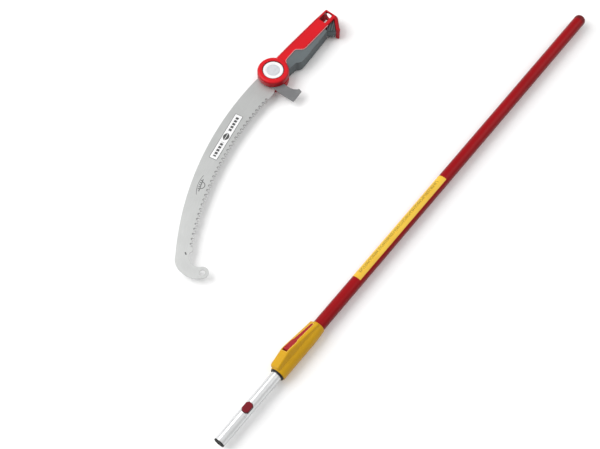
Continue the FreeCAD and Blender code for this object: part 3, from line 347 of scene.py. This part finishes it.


# each look's side tone is painted shade, mixed in on upright faces as if they turned from the light
plasticLooks = {
    "tubeCoat": {"tone": (0.300, 0.0008, 0.0042), "secondTone": (0.262, 0.0006, 0.0034), "roughness": 0.34,
                 "gloss": 0.16, "grain": 420.0, "grainStrength": 0.08, "cloud": 6.0,
                 "sideShadeTone": (0.120, 0.0004, 0.0020), "sideShadeShare": 0.75},
    "capPlastic": {"tone": (0.150, 0.0010, 0.0040), "secondTone": (0.118, 0.0008, 0.0032), "roughness": 0.42,
                   "grain": 900.0, "grainStrength": 0.18},
    "handlePlastic": {"tone": (0.620, 0.0062, 0.0125), "secondTone": (0.560, 0.0045, 0.0110),
                      "roughness": 0.36, "gloss": 0.22, "grain": 700.0, "grainStrength": 0.10, "cloud": 10.0,
                      "sideShadeTone": (0.250, 0.0006, 0.0060), "sideShadeShare": 0.85},
    "gripRubber": {"tone": (0.118, 0.138, 0.145), "secondTone": (0.098, 0.116, 0.123), "roughness": 0.62,
                   "grain": 1500.0, "grainStrength": 0.35, "cloud": 22.0,
                   "sideShadeTone": (0.060, 0.070, 0.075), "sideShadeShare": 0.5},
    "housingPlastic": {"tone": (0.590, 0.330, 0.0022), "secondTone": (0.540, 0.290, 0.0018),
                       "roughness": 0.42, "gloss": 0.22, "grain": 800.0, "grainStrength": 0.16, "cloud": 16.0,
                       "sideShadeTone": (0.400, 0.200, 0.0010), "sideShadeShare": 0.5},
    "leverPlastic": {"tone": (0.360, 0.0040, 0.0090), "secondTone": (0.290, 0.0028, 0.0070),
                     "roughness": 0.34, "grain": 800.0, "grainStrength": 0.12, "cloud": 30.0,
                     "sideShadeTone": (0.130, 0.0006, 0.0020), "sideShadeShare": 0.7},
    "buttonPlastic": {"tone": (0.190, 0.0040, 0.0120), "secondTone": (0.150, 0.0028, 0.0090),
                      "roughness": 0.36, "grain": 900.0, "grainStrength": 0.12, "cloud": 60.0,
                      "sideShadeTone": (0.040, 0.0006, 0.0030), "sideShadeShare": 0.85},
    "blackPlastic": {"tone": (0.008, 0.0085, 0.0085), "secondTone": (0.014, 0.014, 0.0145), "roughness": 0.46,
                     "grain": 900.0, "grainStrength": 0.22},
    "shoeRubber": {"tone": (0.030, 0.030, 0.031), "secondTone": (0.045, 0.045, 0.046), "roughness": 0.75,
                   "grain": 1200.0, "grainStrength": 0.40},
    "hookCoat": {"tone": (0.190, 0.193, 0.197), "secondTone": (0.160, 0.163, 0.167), "roughness": 0.48,
                 "grain": 600.0, "grainStrength": 0.20, "cloud": 40.0,
                 "sideShadeTone": (0.085, 0.087, 0.090), "sideShadeShare": 0.7},
    "rivetPaint": {"tone": (0.520, 0.290, 0.0020), "secondTone": (0.470, 0.250, 0.0018), "roughness": 0.44,
                   "grain": 900.0, "grainStrength": 0.15, "cloud": 60.0},
    # painted highlight colour for the grip beads
    "beadHighlightPaint": {"tone": (0.620, 0.270, 0.270), "secondTone": (0.540, 0.240, 0.240), "roughness": 0.46,
                    "grain": 900.0, "grainStrength": 0.12, "cloud": 60.0},
    # painted highlight colour for the bead round the lever's pocket
    "pocketHighlightPaint": {"tone": (0.820, 0.520, 0.080), "secondTone": (0.760, 0.470, 0.060), "roughness": 0.40,
                     "grain": 900.0, "grainStrength": 0.12, "cloud": 60.0},
}
metalLooks = {
    "tubeAluminium": {"tone": (0.93, 0.935, 0.94), "secondTone": (0.86, 0.865, 0.87), "roughness": 0.30,
                      "stretch": (6, 900, 900), "lineStrength": 0.06,
                      "sideShadeTone": (0.46, 0.47, 0.47), "sideShadeShare": 0.8},
    "springSteel": {"tone": (0.50, 0.50, 0.52), "secondTone": (0.38, 0.38, 0.40), "roughness": 0.32,
                    "stretch": (40, 900, 900), "lineStrength": 0.15},
    "zincSteel": {"tone": (0.70, 0.71, 0.73), "secondTone": (0.55, 0.56, 0.58), "roughness": 0.34,
                  "stretch": (300, 900, 900), "lineStrength": 0.12},
}
hub = {"x": 0.650, "y": 0.410}


def fromHub(x, y):
    return hub["x"] + x, hub["y"] + y


# painted shade along the handle's long edges
handleEdgeShade = {
    "backHeight": 17.5 * mm, "backFall": 0.023, "backBand": 6.0 * mm,
    "frontHeight": -15.8 * mm, "frontBand": 4.0 * mm, "start": 33 * mm, "startBand": 12 * mm,
    "tone": (0.300, 0.0008, 0.0070), "share": 0.85,
}


def shadeRampTo(tree, value, edge, band):
    # 0 inside a band, 1 from the edge on, for painted shade
    return between(tree, value, edge - band, edge)


def handleWithEdgeShade(name):
    # painted shade: the moulding's colour darkens towards its long edges, where they round away from the
    # light
    finish = mouldedPlastic(name, plasticLooks[name])
    tree = finish.node_tree
    colour = tree.nodes["Principled BSDF"].inputs["Base Color"]
    plain = colour.links[0].from_socket
    along, up = splitPoint(tree, localPoint(tree, fromHub(0, 0)))[:2]
    backLine = plus(tree, up, times(tree, along, handleEdgeShade["backFall"]))
    back = shadeRampTo(tree, backLine, handleEdgeShade["backHeight"], handleEdgeShade["backBand"])
    front = shadeRampTo(tree, up, handleEdgeShade["frontHeight"], -handleEdgeShade["frontBand"])
    pastHub = shadeRampTo(tree, along, handleEdgeShade["start"] + handleEdgeShade["startBand"], handleEdgeShade["startBand"])
    edgeShade = times(tree, highest(tree, back, front), pastHub, handleEdgeShade["share"])
    join(tree, mixTones(tree, edgeShade, plain, handleEdgeShade["tone"]), colour)
    return finish


finishes = {}
for name, look in plasticLooks.items():
    finishes[name] = handleWithEdgeShade(name) if name == "handlePlastic" else mouldedPlastic(name, look)
finishes.update({name: brushedMetal(name, look) for name, look in metalLooks.items()})
print("mixed the plain finishes")

disc = {
    "rim": (0.800, 0.800, 0.805), "grey": (0.520, 0.540, 0.570), "lightGrey": (0.590, 0.605, 0.630),
    "roughness": 0.38, "rimStart": 14.2 * mm, "greyEnd": 13.6 * mm, "cloud": 240.0,
    "ringsPerMetre": 3600.0, "ringStrength": 0.25, "ringDepth": 0.06 * mm,
}


def hubDisc(name):
    # white rim, light grey centre with faint turned rings
    finish, tree, shader = startFinish(name, disc["roughness"])
    across, up = splitPoint(tree, localPoint(tree, fromHub(0, 0)))[:2]
    radius = distance(tree, across, up)
    centre = between(tree, radius, disc["rimStart"], disc["greyEnd"])
    cloud = noise(tree, localPoint(tree), disc["cloud"])
    grey = clouded(tree, cloud, disc["grey"], disc["lightGrey"])
    join(tree, mixTones(tree, centre, disc["rim"], grey), shader.inputs["Base Color"])
    rings = calc(tree, "SINE", times(tree, radius, disc["ringsPerMetre"]))
    ripple = times(tree, plus(tree, rings, cloud), centre)
    addBump(tree, shader, ripple, disc["ringStrength"], disc["ringDepth"])
    return finish


stamp = {
    "x": -286 * mm, "y": -53 * mm, "turn": math.radians(22.0), "stroke": 0.55 * mm,
    "branchRadius": 62 * mm, "branchRise": 5 * mm, "branchHalf": 22 * mm, "branchStroke": 0.8,
    "ringRadius": 7.5 * mm, "ringDrop": 1 * mm, "ringStroke": 1.3, "barHalf": 14 * mm, "barStroke": 1.5,
    "tickPitch": 4.6 * mm, "tickShare": 0.45, "tickHeight": 1.6 * mm, "tickHalf": 1.1 * mm,
    "tickRun": 12 * mm,
    "slotX": -414 * mm, "slotY": -127 * mm, "slotTurn": math.radians(62.0),
    "slotLong": 3.4 * mm, "slotWide": 1.5 * mm,
}


def stampMarks(tree):
    # a plain stamped sign: a bowed line, a half ring on a bar and a row of ticks
    # and a small slot by the blade's tip
    along, up = splitPoint(tree, localPoint(tree, fromHub(stamp["x"], stamp["y"]), -stamp["turn"]))[:2]
    bow = distance(tree, along, plus(tree, up, stamp["branchRadius"] - stamp["branchRise"]))
    branch = times(tree, near(tree, bow, stamp["branchRadius"], stamp["branchStroke"] * stamp["stroke"]),
                   near(tree, along, 0.0, stamp["branchHalf"]))
    ringReach = distance(tree, along, plus(tree, up, stamp["ringDrop"]))
    ring = times(tree, near(tree, ringReach, stamp["ringRadius"], stamp["ringStroke"] * stamp["stroke"]),
                 below(tree, up, -stamp["ringDrop"]))
    bar = times(tree, near(tree, up, -stamp["ringDrop"], stamp["barStroke"] * stamp["stroke"]),
                near(tree, along, 0.0, stamp["barHalf"]))
    ticks = times(tree, near(tree, up, stamp["tickHeight"], stamp["tickHalf"]),
                  dashes(tree, along, stamp["tickPitch"], stamp["tickShare"]),
                  near(tree, along, 0.0, stamp["tickRun"]))
    slotPoint = localPoint(tree, fromHub(stamp["slotX"], stamp["slotY"]), -stamp["slotTurn"])
    slotAlong, slotUp = splitPoint(tree, slotPoint)[:2]
    oval = distance(tree, slotAlong, times(tree, slotUp, stamp["slotLong"] / stamp["slotWide"]))
    return highest(tree, below(tree, oval, stamp["slotLong"]), branch, ring, bar, ticks)


blade = {
    "toothCentre": (0.605, -0.300), "toothRadius": 0.680, "pitch": 10.7 * mm, "teeth": 34, "firstShift": 0.3,
    "startX": -52 * mm, "centreX": -45 * mm, "gullet": 4.4 * mm, "groundDepth": 0.7, "groundNarrow": 1.15,
    "groundOuter": 2.8 * mm, "groundInner": 2.2 * mm, "groundShadeShare": 0.85, "groundShadeTone": (0.10, 0.10, 0.105),
    "tone": (0.600, 0.608, 0.600), "lineTone": (0.520, 0.528, 0.522),
    "cloudTone": (0.450, 0.455, 0.450), "cloud": 26.0, "cloudShare": 0.35,
    "sideShadeTone": (0.30, 0.30, 0.305), "sideShadeShare": 0.55,
    "stampTone": (0.035, 0.035, 0.038), "stampShare": 0.85,
    "metallic": 0.85, "roughness": 0.42, "smoothest": 0.36, "roughest": 0.50,
    "linesAcross": 1500.0, "linesAlong": 22.0, "lineStrength": 0.12, "lineDepth": 0.1 * mm,
}


def bladeSteel(name):
    # satin steel with lines that follow the blade, painted shade for the bevelled facets at the gullets and
    # painted shade on its edge faces
    finish, tree, shader = startFinish(name, blade["roughness"], metallic=blade["metallic"])
    across, up = splitPoint(tree, localPoint(tree, blade["toothCentre"]))[:2]
    radius = distance(tree, across, up)
    angle = calc(tree, "ARCTAN2", up, across)
    strip = pair(tree, times(tree, radius, blade["linesAcross"]), times(tree, angle, blade["linesAlong"]))
    lines = noise(tree, strip, 1.0, 5.0, 0.65)
    cloud = noise(tree, localPoint(tree), blade["cloud"])
    tone = mixTones(tree, between(tree, lines, 0.25, 0.75), blade["tone"], blade["lineTone"])
    patches = between(tree, cloud, 0.4, 0.75, 0.0, blade["cloudShare"])
    tone = mixTones(tree, patches, tone, blade["cloudTone"])
    # painted shade for a bevelled facet at the foot of each gullet
    step = blade["pitch"] / blade["toothRadius"]
    lean = math.asin((blade["centreX"] - blade["startX"]) / blade["toothRadius"])
    first = math.pi / 2 + lean + step * blade["firstShift"]
    turns = calc(tree, "DIVIDE", minus(tree, angle, first), step)
    phase = minus(tree, calc(tree, "FRACT", plus(tree, turns, 0.5)), 0.5)
    outward = minus(tree, radius, blade["toothRadius"] + blade["groundDepth"] * blade["gullet"])
    away = distance(tree, times(tree, phase, blade["pitch"], blade["groundNarrow"]), outward)
    groundShade = times(tree, between(tree, away, blade["groundOuter"], blade["groundInner"]),
                   inside(tree, turns, -0.5, blade["teeth"] - 0.5), blade["groundShadeShare"])
    tone = mixTones(tree, groundShade, tone, blade["groundShadeTone"])
    tone = paintSideShade(tree, blade, tone)
    tone = mixTones(tree, times(tree, stampMarks(tree), blade["stampShare"]), tone, blade["stampTone"])
    join(tree, tone, shader.inputs["Base Color"])
    join(tree, spread(tree, lines, blade["smoothest"], blade["roughest"]), shader.inputs["Roughness"])
    addBump(tree, shader, lines, blade["lineStrength"], blade["lineDepth"])
    return finish


filmBump = {"strength": 0.05, "depth": 0.1 * mm}
label = {
    "turn": math.radians(55.0), "radius": 12.25 * mm, "roughness": 0.38,
    "rowsPerMetre": 420.0, "rowStart": 0.28, "rowEnd": 0.74, "strokesPerMetre": 260.0, "strokeLimit": 0.46,
    "bandLow": -1.4 * mm, "bandHigh": 5.8 * mm, "start": 402 * mm, "end": 648 * mm,
    "film": (0.780, 0.500, 0.036), "secondFilm": (0.740, 0.445, 0.028),
    "ink": (0.075, 0.055, 0.008), "inkShare": 0.9, "cloud": 30.0,
}


def printedLabel(name):
    # yellow film with rows of short dark strokes, no lettering
    finish, tree, shader = startFinish(name, label["roughness"])
    along, back, up = splitPoint(tree, localPoint(tree))
    turn = minus(tree, calc(tree, "ARCTAN2", up, back), label["turn"])
    across = times(tree, turn, label["radius"])
    rows = times(tree, across, label["rowsPerMetre"])
    cells = pair(tree, times(tree, along, label["strokesPerMetre"]), calc(tree, "FLOOR", rows))
    strokes = calc(tree, "GREATER_THAN", noise(tree, cells, 1.0, 1.0, 0.4), label["strokeLimit"])
    ink = times(tree, strokes, inside(tree, calc(tree, "FRACT", rows), label["rowStart"], label["rowEnd"]),
                inside(tree, across, label["bandLow"], label["bandHigh"]),
                inside(tree, along, label["start"], label["end"]), label["inkShare"])
    cloud = noise(tree, localPoint(tree), label["cloud"])
    film = clouded(tree, cloud, label["film"], label["secondFilm"])
    join(tree, mixTones(tree, ink, film, label["ink"]), shader.inputs["Base Color"])
    addBump(tree, shader, cloud, filmBump["strength"], filmBump["depth"])
    return finish


plate = {
    "x": -172 * mm, "y": -21 * mm, "turn": math.radians(12.5), "length": 112 * mm, "width": 17 * mm,
    "thick": 0.4 * mm, "corner": 1.4 * mm, "frame": 0.8 * mm, "frameStep": 0.12 * mm, "low": 0.75 * mm,
    "leafHalf": 9.5 * mm, "leafReach": 6.2 * mm, "ribHalf": 0.5 * mm,
    "blockPitch": 7.4 * mm, "blockShare": 0.70, "blockHalf": 3.0 * mm,
    "rowMiddle": 32 * mm, "rowHalf": 18 * mm,
    "roughness": 0.42, "gloss": 0.3, "white": (0.80, 0.80, 0.80), "secondWhite": (0.74, 0.74, 0.745),
    "ink": (0.020, 0.020, 0.021), "inkShare": 0.93, "cloud": 90.0,
}


def platePrint(name):
    # a white plate with a dark frame, a leaf in the middle and plain blocks on both sides
    finish, tree, shader = startFinish(name, plate["roughness"], gloss=plate["gloss"])
    along, up = splitPoint(tree, localPoint(tree, fromHub(plate["x"], plate["y"]), -plate["turn"]))[:2]
    inner = times(tree, near(tree, along, 0.0, plate["length"] / 2 - plate["frame"]),
                  near(tree, up, 0.0, plate["width"] / 2 - plate["frame"]))
    share = calc(tree, "DIVIDE", along, plate["leafHalf"])
    reach = times(tree, minus(tree, 1.0, times(tree, share, share)), plate["leafReach"])
    leaf = times(tree, below(tree, calc(tree, "ABSOLUTE", up), reach),
                 minus(tree, 1.0, near(tree, up, 0.0, plate["ribHalf"])))
    blocks = times(tree, dashes(tree, along, plate["blockPitch"], plate["blockShare"]),
                   near(tree, up, 0.0, plate["blockHalf"]),
                   near(tree, calc(tree, "ABSOLUTE", along), plate["rowMiddle"], plate["rowHalf"]))
    ink = times(tree, highest(tree, minus(tree, 1.0, inner), leaf, blocks), plate["inkShare"])
    cloud = noise(tree, localPoint(tree), plate["cloud"])
    film = clouded(tree, cloud, plate["white"], plate["secondWhite"])
    join(tree, mixTones(tree, ink, film, plate["ink"]), shader.inputs["Base Color"])
    addBump(tree, shader, cloud, filmBump["strength"], filmBump["depth"])
    return finish


finishes["platePrint"] = platePrint("platePrint")
finishes["hubDisc"] = hubDisc("hubDisc")
finishes["bladeSteel"] = bladeSteel("bladeSteel")
finishes["labelFilm"] = printedLabel("labelFilm")

finishOfNode = {
    "outer_tube": "tubeCoat", "end_cap": "capPlastic", "lock_housing_left": "housingPlastic",
    "lock_housing_right": "housingPlastic", "housing_screws": "zincSteel", "housing_rivets": "rivetPaint",
    "lever_pin": "zincSteel", "guide_bush": "blackPlastic", "mouth_seal": "blackPlastic",
    "tube_label": "labelFilm", "inner_tube": "tubeAluminium", "tool_end_plug": "blackPlastic",
    "rear_guide": "blackPlastic", "button_spring": "springSteel", "tool_button": "buttonPlastic",
    "lock_lever": "leverPlastic", "clamp_shoe": "shoeRubber", "handle_shell_top": "handlePlastic",
    "handle_shell_bottom": "handlePlastic", "grip_insert": "gripRubber", "handle_screws": "zincSteel",
    "pivot_sleeve": "zincSteel", "pivot_bolt": "zincSteel", "pivot_nut": "zincSteel",
    "hub_back_cap": "hubDisc", "hub_spring": "springSteel", "hub_button": "hubDisc", "lock_ring": "zincSteel",
    "saw_blade": "bladeSteel", "blade_ring": "zincSteel", "bark_hook": "hookCoat", "hook_rivets": "zincSteel",
    "ring_rivets": "zincSteel",
}
for node, finish in finishOfNode.items():
    dress(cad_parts[node], finishes[finish])
print("dressed the built parts")


def addBladePlate():
    clearSelection()
    bpy.ops.mesh.primitive_cube_add(size=1)
    piece = bpy.context.object
    piece.name = "bladePlate"
    piece.scale = (plate["length"], plate["width"], plate["thick"])
    bpy.ops.object.transform_apply(location=False, rotation=False, scale=True)
    bpy.ops.object.mode_set(mode="EDIT")
    bpy.ops.mesh.select_mode(type="EDGE")
    selectEdges(piece, lambda first, second: abs(first.z - second.z) > plate["thick"] / 2)
    bpy.ops.mesh.bevel(offset=plate["corner"], segments=5, affect="EDGES")
    bpy.ops.mesh.select_mode(type="FACE")
    selectFaces(piece, lambda face: face.normal.z > 0.9)
    bpy.ops.mesh.inset(thickness=plate["frame"], depth=-plate["frameStep"])
    bpy.ops.object.mode_set(mode="OBJECT")
    piece.rotation_euler = (0, 0, plate["turn"])
    piece.location = (*fromHub(plate["x"], plate["y"]), plate["low"] + plate["thick"] / 2)
    placeInMesh(piece)
    dress(piece, finishes["platePrint"])
    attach(piece, "blade")


addBladePlate()


def beadAlong(name, points, radius, closed):
    # a round bead that follows points in metres
    clearSelection()
    bpy.ops.curve.primitive_nurbs_path_add()
    bead = bpy.context.object
    bead.name = name
    bead.data.splines.clear()
    run = bead.data.splines.new("POLY")
    run.points.add(len(points) - 1)
    for spot, place in zip(run.points, points):
        spot.co = (*place, 1)
    run.use_cyclic_u = closed
    bead.data.bevel_depth = radius
    bead.data.bevel_resolution = 3
    bead.data.use_fill_caps = True
    pickOnly(bead)
    bpy.ops.object.convert(target="MESH")
    bead = bpy.context.object
    bpy.ops.object.shade_smooth_by_angle(angle=softAngle)
    return placeInMesh(bead)


# this outline is in millimetres from the hub's middle
gripHighlightBead = {
    "radius": 0.95 * mm, "height": 13.7 * mm,
    "line": [(31.2, -9.6), (33.0, -6.2), (36.0, -4.0), (40.0, -2.8), (65.0, -1.6), (67.7, -1.9), (70.0, -2.9),
             (77.0, -11.4), (80.4, -14.4), (85.0, -15.8), (110.0, -15.8), (158.0, -15.8)],
}


# light beads that stand in for the highlight along the edge where the red shell meets the grey grip
def addGripHighlightBeads():
    for name, side in (("gripHighlightTop", 1), ("gripHighlightBottom", -1)):
        points = [(*fromHub(x * mm, y * mm), side * gripHighlightBead["height"]) for x, y in gripHighlightBead["line"]]
        bead = beadAlong(name, points, gripHighlightBead["radius"], False)
        dress(bead, finishes["beadHighlightPaint"])
        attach(bead, "saw_handle")


addGripHighlightBeads()


def addTorus(name, radius, thick, turns):
    clearSelection()
    bpy.ops.mesh.primitive_torus_add(major_radius=radius, minor_radius=thick,
                                     major_segments=turns, minor_segments=12)
    ring = bpy.context.object
    ring.name = name
    bpy.ops.object.mode_set(mode="EDIT")
    bpy.ops.mesh.select_all(action="SELECT")
    return ring


hubGapShade = {"radius": 21.75 * mm, "thick": 0.6 * mm, "flatten": 0.7, "height": 17.85 * mm}


def addHubGapShade():
    # a dark ring that stands in for the shade in the gap round the button
    gapShade = addTorus("hubGapShade", hubGapShade["radius"], hubGapShade["thick"], 96)
    bpy.ops.transform.resize(value=(1, 1, hubGapShade["flatten"]))
    bpy.ops.object.mode_set(mode="OBJECT")
    gapShade.location = (*fromHub(0, 0), hubGapShade["height"])
    placeInMesh(gapShade)
    bpy.ops.object.shade_smooth_by_angle(angle=softAngle)
    dress(gapShade, finishes["capPlastic"])
    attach(gapShade, "saw_handle")


addHubGapShade()

# and this one in millimetres along and across the housing's ridge
lock = {
    "x": 158.0, "tilt": math.radians(35.0), "pocketHighlightRadius": 0.75 * mm,
    "flatHeight": 24.2, "peakX": 36.0, "peakHeight": 24.8, "fall": 0.13827,
    "line": [(34.8, -8.2), (41.0, -8.2), (49.0, -8.2), (58.0, -8.2), (61.0, -7.9), (63.6, -7.1), (66.2, -5.5),
             (80.0, -4.9), (95.0, -4.3), (108.0, -3.8), (110.4, -2.4), (111.3, 0.0)],
}


def ridgeHeight(x):
    return min(lock["flatHeight"], lock["peakHeight"] - lock["fall"] * (x - lock["peakX"]))


def addLeverPocketHighlight():
    # a thin light bead round the lever's pocket, on the housing's ridge, standing in for the pocket rim's
    # highlight
    there = lock["line"]
    back = [(x, -y) for x, y in reversed(there[:-1])]
    points = []
    turnSin, turnCos = math.sin(lock["tilt"]), math.cos(lock["tilt"])
    for x, y in there + back:
        z = ridgeHeight(x)
        tilted = (lock["x"] + x, y * turnCos + z * turnSin, z * turnCos - y * turnSin)
        points.append(tuple(value * mm for value in tilted))
    pocketHighlight = beadAlong("leverPocketHighlight", points, lock["pocketHighlightRadius"], True)
    dress(pocketHighlight, finishes["pocketHighlightPaint"])
    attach(pocketHighlight, "pole")


addLeverPocketHighlight()

dial = {
    "ringRadius": 11.6 * mm, "ringThick": 0.45 * mm, "ringFlatten": 0.6, "low": 16.95 * mm,
    "leafLong": 7.0 * mm, "leafWide": 3.2 * mm, "leafHeight": 0.35 * mm,
    "leafRim": 0.5 * mm, "leafRise": 0.1 * mm,
    "turn": math.radians(35.0), "smooth": math.radians(35.0),
}


def addDialRing():
    ring = addTorus("dialRing", dial["ringRadius"], dial["ringThick"], 72)
    bpy.ops.mesh.bisect(plane_co=(0, 0, 0), plane_no=(0, 0, 1), clear_inner=True, use_fill=True)
    bpy.ops.mesh.select_all(action="SELECT")
    bpy.ops.transform.resize(value=(1, 1, dial["ringFlatten"]))
    bpy.ops.object.mode_set(mode="OBJECT")
    return ring


def addDialLeaf():
    clearSelection()
    bpy.ops.mesh.primitive_circle_add(vertices=32, radius=dial["leafLong"], fill_type="NGON")
    leaf = bpy.context.object
    leaf.name = "dialLeaf"
    leaf.scale = (1, dial["leafWide"] / dial["leafLong"], 1)
    bpy.ops.object.transform_apply(location=False, rotation=False, scale=True)
    bpy.ops.object.mode_set(mode="EDIT")
    bpy.ops.mesh.select_mode(type="FACE")
    bpy.ops.mesh.select_all(action="SELECT")
    bpy.ops.mesh.extrude_region_move(TRANSFORM_OT_translate={"value": (0, 0, dial["leafHeight"])})
    selectFaces(leaf, lambda face: face.normal.z > 0.9 and face.center.z > dial["leafHeight"] / 2)
    bpy.ops.mesh.inset(thickness=dial["leafRim"], depth=dial["leafRise"])
    bpy.ops.mesh.select_all(action="SELECT")
    bpy.ops.mesh.normals_make_consistent(inside=False)
    bpy.ops.object.mode_set(mode="OBJECT")
    leaf.rotation_euler = (0, 0, dial["turn"])
    return leaf


def addDialRelief():
    # a shallow turned ring and a plain leaf on the hub's button
    for piece in (addDialRing(), addDialLeaf()):
        piece.location = (*fromHub(0, 0), dial["low"])
        placeInMesh(piece)
        bpy.ops.object.shade_smooth_by_angle(angle=dial["smooth"])
        dress(piece, finishes["hubDisc"])
        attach(piece, "hub_button")


addDialRelief()

flatSprings = {
    "hubSpringCone": {"node": "hub_spring", "body": "saw_handle", "joint": "hub_press",
                      "foot": -14.0 * mm, "travel": 4.1 * mm},
    "buttonSpringLeaf": {"node": "button_spring", "body": "inner_tube", "joint": "button_press",
                         "foot": -8.4 * mm, "travel": 3.3 * mm},
}


def addFlatSprings():
    # each spring is copied from its built part, welded, dressed and hung on its body, and the built part is
    # hidden
    for name, values in flatSprings.items():
        piece = bpy.data.objects.new(name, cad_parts[values["node"]].data.copy())
        bpy.context.collection.objects.link(piece)
        pickOnly(piece)
        bpy.ops.object.mode_set(mode="EDIT")
        bpy.ops.mesh.select_all(action="SELECT")
        bpy.ops.mesh.remove_doubles(threshold=0.002 * mm)
        bpy.ops.object.mode_set(mode="OBJECT")
        dress(piece, finishes["springSteel"])
        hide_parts(values["node"])
        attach(piece, values["body"])
        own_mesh(piece)


addFlatSprings()
# here the beads are painted highlights, and the two pieces after them are a ring of painted shade round the
# hub's button and a painted highlight round the lever's pocket
print("added the plate, beads, seal, lip, dial and springs")

clearSelection()
floorPlace = (*studio["floorMiddle"], cadBox[0][2] - studio["floorGap"])
bpy.ops.mesh.primitive_plane_add(size=studio["floorSize"], location=floorPlace)
floor = bpy.context.object
floor.name = "studioFloor"
floorFinish, floorTree, floorShader = startFinish("paleFloor", 0.9, gloss=0.1)
floorShader.inputs["Base Color"].default_value = (*studio["floorTone"], 1)
dress(floor, floorFinish)

sky = bpy.data.worlds.new("softSky")
bpy.context.scene.world = sky
sky.use_nodes = True
skyTree = sky.node_tree
background = skyTree.nodes["Background"]
direction = addNode(skyTree, "ShaderNodeTexCoord")
skyHeight = splitPoint(skyTree, direction.outputs["Generated"])[2]
brightness = between(skyTree, skyHeight, 0.0, studio["skyTopHeight"], studio["skyEdge"], studio["skyTop"])
join(skyTree, brightness, background.inputs["Strength"])
background.inputs["Color"].default_value = (1, 1, 1, 1)
bpy.context.scene.view_settings.view_transform = "Standard"
print("set the studio")
